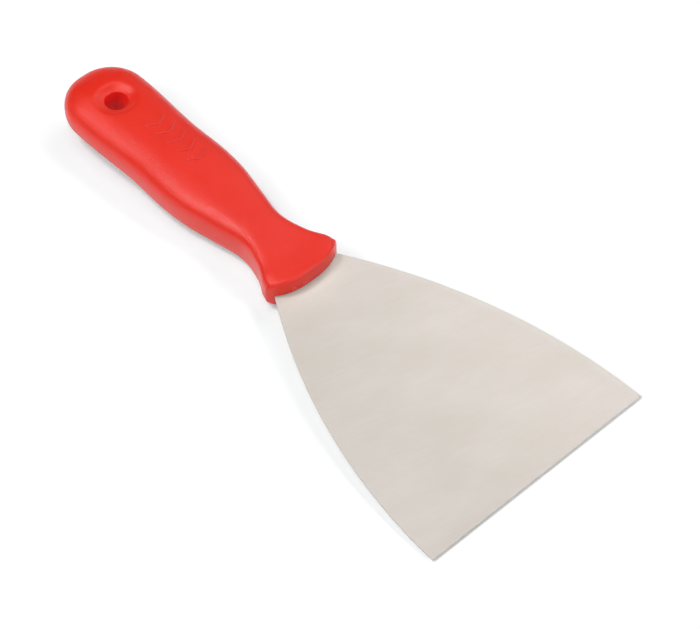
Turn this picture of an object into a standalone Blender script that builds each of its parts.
"""A flexible putty knife: a thin spring-steel blade moulded into a plastic handle.

Frame: +X runs from the handle to the blade's tip, +Y to the side and +Z up through the blade's face.
The origin is the middle of the knife's length, on its centre line and in the blade's middle plane.
Lengths are in metres.
"""

import math

import bmesh
import bpy

# Driving dimensions
OVERALL_LENGTH = 0.2460
HANDLE_LENGTH = 0.1312
TIP_WIDTH = 0.100
BLADE_THICKNESS = 0.0005
HANDLE_HALF_WIDTH = 0.0158
HANDLE_HALF_THICKNESS = 0.0090
CLEARANCE = 0.0003

# Places along the knife
REAR_X = -OVERALL_LENGTH / 2
MOUTH_X = REAR_X + HANDLE_LENGTH
TIP_X = OVERALL_LENGTH / 2
FLEX_X = MOUTH_X + 0.022
HANG_HOLE_X = REAR_X + 0.0216

# Handle: (distance behind the mouth, half width as a share of HANDLE_HALF_WIDTH)
WIDTH_STATIONS = (
    (0.135, 1.013), (0.108, 1.068), (0.083, 0.992), (0.066, 1.014), (0.054, 0.955),
    (0.041, 0.784), (0.027, 0.624), (0.016, 0.758), (0.007, 0.980), (0.0, 1.071),
)
# Handle: (distance behind the mouth, half thickness as a share of HANDLE_HALF_THICKNESS)
THICKNESS_STATIONS = (
    (0.135, 0.900), (0.105, 0.949), (0.065, 1.002), (0.028, 0.871), (0.012, 0.762), (0.0, 0.794),
)
# Handle: (distance behind the mouth, squareness of the rounded section)
SQUARENESS_STATIONS = (
    (0.135, 2.8), (0.095, 2.8), (0.070, 3.05), (0.045, 3.55), (0.030, 3.75), (0.008, 6.2), (0.0, 4.5),
)
# Handle: its underside is a little flatter than its top near the mouth
UNDER_SHARE = 0.84
UNDER_LENGTH = 0.020
# Handle: rounded rear end
NOSE_LENGTH = 0.0163
NOSE_ROUNDNESS = 2.08
NOSE_THINNING = 0.80
NOSE_START = 0.35
# Handle: bowed front of the mouth, and how far back the sections still follow it
MOUTH_FILLET = 0.0013
MOUTH_BOW = 0.0042
MOUTH_BOW_AT = 0.0155
BOW_SQUARE_SHARE = 0.6
FOLLOW_LENGTH = 0.030
FOLLOW_FADE = 1.5
SECTION_POINTS = 32
BODY_SECTIONS = 26
NOSE_SECTIONS = 7
FILLET_SECTIONS = 3

# Hang hole
HOLE_RADIUS = 0.0045
DISH_RADIUS = 0.0083
DISH_DEPTH = 0.0016
DISH_CURVE = 1.8
DISH_STEPS = 5
DISH_OVERSHOOT = 0.0015
TURN_STEPS = 32
TURN_MERGE = 0.00001

# Blade
NECK_HALF_WIDTH = 0.0170
NECK_BACK = 0.009
SHOULDER_BACK = 0.0125
SHOULDER_HALF_WIDTH = 0.0125
NECK_START = 0.004
TANG_HALF_WIDTH = 0.0070
TANG_BACK = 0.070
TANG_CORNER = 0.002
SIDE_BELLY = 0.0084
BELLY_LEAN = 0.12
BLADE_STRIPS = 12
GRIND_LENGTH = 0.0008
GRIND_DEPTH = 0.00015
LOCK_HOLES_BACK = (0.030, 0.052)
LOCK_HOLE_RADIUS = 0.0030
PIN_SEGMENTS = 24
PIN_HEIGHT = 0.004

# Looks
PLASTIC_COLOUR = (0.83, 0.040, 0.022)
PLASTIC_ROUGHNESS = 0.36
STEEL_COLOUR = (0.72, 0.69, 0.65)
STEEL_ROUGHNESS = 0.38
SHARP_DEG = 35


def clear_scene():
    """Remove every object that the file opened with."""
    for found in list(bpy.data.objects):
        bpy.data.objects.remove(found, do_unlink=True)


def new_collection(name):
    made = bpy.data.collections.new(name)
    bpy.context.scene.collection.children.link(made)
    return made


def new_material(name, colour, roughness, metallic):
    made = bpy.data.materials.new(name)
    made.use_nodes = True
    shader = made.node_tree.nodes["Principled BSDF"]
    shader.inputs["Base Color"].default_value = (*colour, 1.0)
    shader.inputs["Roughness"].default_value = roughness
    shader.inputs["Metallic"].default_value = metallic
    return made


def object_from(bm, name, collection, material=None):
    """Turn a bmesh into a named object with smooth faces and sharp edges."""
    bmesh.ops.recalc_face_normals(bm, faces=bm.faces)
    mesh = bpy.data.meshes.new(name)
    bm.to_mesh(mesh)
    bm.free()
    mesh.shade_smooth()
    mesh.set_sharp_from_angle(angle=math.radians(SHARP_DEG))
    made = bpy.data.objects.new(name, mesh)
    collection.objects.link(made)
    if material:
        mesh.materials.append(material)
    return made


def smooth_value(stations, back):
    """Read a smooth curve through (distance behind the mouth, value) stations at one distance."""
    points = sorted(stations)
    slopes = []
    for i in range(len(points)):
        before, after = points[max(i - 1, 0)], points[min(i + 1, len(points) - 1)]
        slopes.append((after[1] - before[1]) / (after[0] - before[0]))
    back = min(max(back, points[0][0]), points[-1][0])
    i = max(k for k in range(len(points) - 1) if points[k][0] <= back)
    (x0, y0), (x1, y1) = points[i], points[i + 1]
    step = x1 - x0
    t = (back - x0) / step
    return (
        (2 * t**3 - 3 * t**2 + 1) * y0
        + (t**3 - 2 * t**2 + t) * step * slopes[i]
        + (3 * t**2 - 2 * t**3) * y1
        + (t**3 - t**2) * step * slopes[i + 1]
    )


def mouth_bow(y):
    """How far the mouth's curved front lies behind its middle, at a distance y from the centre line."""
    u = abs(y) / MOUTH_BOW_AT
    return MOUTH_BOW * (BOW_SQUARE_SHARE * u**2 + (1 - BOW_SQUARE_SHARE) * u**4)


def section_at(back, inset=0.0):
    """The handle's section: half width, half thickness, squareness, share of the mouth's bow and under share."""
    half_width = HANDLE_HALF_WIDTH * smooth_value(WIDTH_STATIONS, back) - inset
    half_thickness = HANDLE_HALF_THICKNESS * smooth_value(THICKNESS_STATIONS, back) - inset
    squareness = smooth_value(SQUARENESS_STATIONS, back)
    follow = max(0.0, 1.0 - back / FOLLOW_LENGTH) ** FOLLOW_FADE
    under = 1.0 - (1.0 - UNDER_SHARE) * max(0.0, 1.0 - back / UNDER_LENGTH)
    return half_width, half_thickness, squareness, follow, under


def section_loop(bm, x, half_width, half_thickness, squareness, follow, under):
    """Add one rounded section of the handle: points from +Y, over the top, round to +Y again."""
    loop = []
    for k in range(SECTION_POINTS):
        angle = 2 * math.pi * (k + 0.5) / SECTION_POINTS
        c, s = math.cos(angle), math.sin(angle)
        y = half_width * math.copysign(abs(c) ** (2 / squareness), c)
        z = half_thickness * math.copysign(abs(s) ** (2 / squareness), s)
        loop.append(bm.verts.new((x - follow * mouth_bow(y), y, z if z > 0 else z * under)))
    return loop


def handle_loops(bm):
    """The handle's sections, from its rear end to its mouth."""
    loops = []
    for i in range(NOSE_SECTIONS):
        angle = math.radians(90) * (i + NOSE_START) / NOSE_SECTIONS
        along = 1 - math.cos(angle)
        rise = (1 - (1 - along) ** NOSE_ROUNDNESS) ** (1 / NOSE_ROUNDNESS)
        half_width, half_thickness, *rest = section_at(HANDLE_LENGTH - NOSE_LENGTH * along)
        loops.append(section_loop(
            bm, REAR_X + NOSE_LENGTH * along, half_width * rise, half_thickness * rise**NOSE_THINNING, *rest))
    front = HANDLE_LENGTH - MOUTH_FILLET
    for i in range(BODY_SECTIONS + 1):
        along = NOSE_LENGTH + (front - NOSE_LENGTH) * i / BODY_SECTIONS
        loops.append(section_loop(bm, REAR_X + along, *section_at(HANDLE_LENGTH - along)))
    for i in range(1, FILLET_SECTIONS + 1):
        angle = math.radians(90) * i / FILLET_SECTIONS
        inset = MOUTH_FILLET * (1 - math.cos(angle))
        x = MOUTH_X - MOUTH_FILLET * (1 - math.sin(angle))
        loops.append(section_loop(bm, x, *section_at(0.0, inset)))
    return loops


def bridge(bm, loops):
    """Skin neighbouring sections and close both ends with strips that run across the thickness."""
    count = SECTION_POINTS
    for first, second in zip(loops, loops[1:]):
        for k in range(count):
            bm.faces.new((first[k], first[(k + 1) % count], second[(k + 1) % count], second[k]))
    for end in (loops[0], loops[-1]):
        for k in range(count // 2 - 1):
            bm.faces.new((end[k], end[k + 1], end[count - 2 - k], end[count - 1 - k]))


def blade_half_width(reach):
    """Half width of the blade at a distance in front of the mouth: sides that belly gently outwards."""
    length = TIP_X - MOUTH_X
    u = reach / length
    half_width = NECK_HALF_WIDTH + (TIP_WIDTH / 2 - NECK_HALF_WIDTH) * u
    return half_width + SIDE_BELLY * 4 * u * (1 - u) * (1 - BELLY_LEAN * u)


def blade_stations(grow):
    """(x, half width) pairs of the blade's outline, from the tang's end to the tip."""
    found = [
        (MOUTH_X - TANG_BACK - grow, TANG_HALF_WIDTH - TANG_CORNER + grow),
        (MOUTH_X - TANG_BACK + TANG_CORNER - grow, TANG_HALF_WIDTH + grow),
        (MOUTH_X - SHOULDER_BACK - grow, TANG_HALF_WIDTH + grow),
        (MOUTH_X - NECK_BACK - grow, SHOULDER_HALF_WIDTH + grow),
    ]
    for i in range(BLADE_STRIPS + 1):
        reach = (TIP_X - MOUTH_X + NECK_START) * i / BLADE_STRIPS - NECK_START
        found.append((MOUTH_X + reach, blade_half_width(reach) + grow))
    return found


def blade_plate(name, collection, thickness, grow=0.0, ground=False, material=None):
    """The flat outline of the blade as a plate, one strip of faces between two stations."""
    bm = bmesh.new()
    top, bottom = [], []
    for x, half_width in blade_stations(grow):
        top.append([bm.verts.new((x, y, thickness / 2)) for y in (-half_width, half_width)])
        bottom.append([bm.verts.new((x, y, -thickness / 2)) for y in (-half_width, half_width)])
    if ground:
        for vert in top[-1]:
            vert.co.z -= GRIND_DEPTH
        start = TIP_X - GRIND_LENGTH
        half_width = blade_half_width(start - MOUTH_X)
        top.insert(-1, [bm.verts.new((start, y, thickness / 2)) for y in (-half_width, half_width)])
        bottom.insert(-1, [bm.verts.new((start, y, -thickness / 2)) for y in (-half_width, half_width)])
    for i in range(len(top) - 1):
        bm.faces.new((top[i][0], top[i + 1][0], top[i + 1][1], top[i][1]))
        bm.faces.new((bottom[i][0], bottom[i][1], bottom[i + 1][1], bottom[i + 1][0]))
        for side in (0, 1):
            bm.faces.new((top[i][side], top[i + 1][side], bottom[i + 1][side], bottom[i][side]))
    for i in (0, -1):
        bm.faces.new((top[i][0], top[i][1], bottom[i][1], bottom[i][0]))
    return object_from(bm, name, collection, material)


def pin_cutter(name, collection, x, radius):
    """An upright cylinder that cuts a round hole."""
    bm = bmesh.new()
    bmesh.ops.create_cone(
        bm, cap_ends=True, segments=PIN_SEGMENTS, radius1=radius, radius2=radius, depth=PIN_HEIGHT)
    made = object_from(bm, name, collection)
    made.location.x = x
    return as_cutter(made)


def as_cutter(made):
    made.hide_render = True
    made.display_type = "WIRE"
    return made


def cut(target, cutter, operation="DIFFERENCE"):
    modifier = target.modifiers.new(cutter.name, "BOOLEAN")
    modifier.operation = operation
    modifier.solver = "EXACT"
    modifier.object = cutter


def hang_hole_cutter(collection):
    """A turned cutter: a round hole that opens into a shallow dish on each face of the handle."""
    face = HANDLE_HALF_THICKNESS * smooth_value(THICKNESS_STATIONS, MOUTH_X - HANG_HOLE_X)
    dish = []
    for i in range(DISH_STEPS + 1):
        t = i / DISH_STEPS
        radius = HOLE_RADIUS + (DISH_RADIUS - HOLE_RADIUS) * t
        dish.append((radius, face - DISH_DEPTH * (1 - t**DISH_CURVE)))
    dish.append((DISH_RADIUS + DISH_OVERSHOOT, face + DISH_OVERSHOOT))
    upper = [(r, z) for r, z in reversed(dish)]
    lower = [(r, -z) for r, z in dish]
    profile = [(0.0, upper[0][1]), *upper, *lower, (0.0, lower[-1][1])]
    bm = bmesh.new()
    verts = [bm.verts.new((r, 0.0, z)) for r, z in profile]
    for first, second in zip(verts, verts[1:]):
        bm.edges.new((first, second))
    mesh = bpy.data.meshes.new("hang_hole_cutter")
    bm.to_mesh(mesh)
    bm.free()
    made = bpy.data.objects.new("hang_hole_cutter", mesh)
    collection.objects.link(made)
    made.location.x = HANG_HOLE_X
    screw = made.modifiers.new("turn", "SCREW")
    screw.steps = screw.render_steps = TURN_STEPS
    screw.use_merge_vertices = True
    screw.merge_threshold = TURN_MERGE
    return as_cutter(made)


def make_blade(parts, cutters, steel):
    """One stamped sheet: blade, shoulders and the tang with its two locking holes."""
    blade = blade_plate("blade", parts, BLADE_THICKNESS, ground=True, material=steel)
    for i, back in enumerate(LOCK_HOLES_BACK):
        cut(blade, pin_cutter(f"lock_hole_{i + 1}", cutters, MOUTH_X - back, LOCK_HOLE_RADIUS))
    return blade


def make_handle(parts, cutters, plastic):
    """One moulding: lofted body, hang hole, and a slot with a pillar through each locking hole."""
    bm = bmesh.new()
    bridge(bm, handle_loops(bm))
    handle = object_from(bm, "handle", parts, plastic)
    cut(handle, hang_hole_cutter(cutters))
    slot = as_cutter(blade_plate("slot_cutter", cutters, BLADE_THICKNESS + 2 * CLEARANCE, grow=CLEARANCE))
    for i, back in enumerate(LOCK_HOLES_BACK):
        radius = LOCK_HOLE_RADIUS - CLEARANCE
        cut(slot, pin_cutter(f"pillar_{i + 1}", cutters, MOUTH_X - back, radius))
    cut(handle, slot)
    return handle


def main():
    clear_scene()
    parts = new_collection("flexible_putty_knife")
    cutters = new_collection("cutters")
    plastic = new_material("red_plastic", PLASTIC_COLOUR, PLASTIC_ROUGHNESS, 0.0)
    steel = new_material("spring_steel", STEEL_COLOUR, STEEL_ROUGHNESS, 1.0)
    handle = make_handle(parts, cutters, plastic)
    blade = make_blade(parts, cutters, steel)
    # The blade bends about a line across it, a little way in front of the mouth.
    flex = bpy.data.objects.new("flex_line", None)
    parts.objects.link(flex)
    flex.location.x = FLEX_X
    flex.parent = handle
    blade.parent = flex
    blade.location.x = -FLEX_X


main()
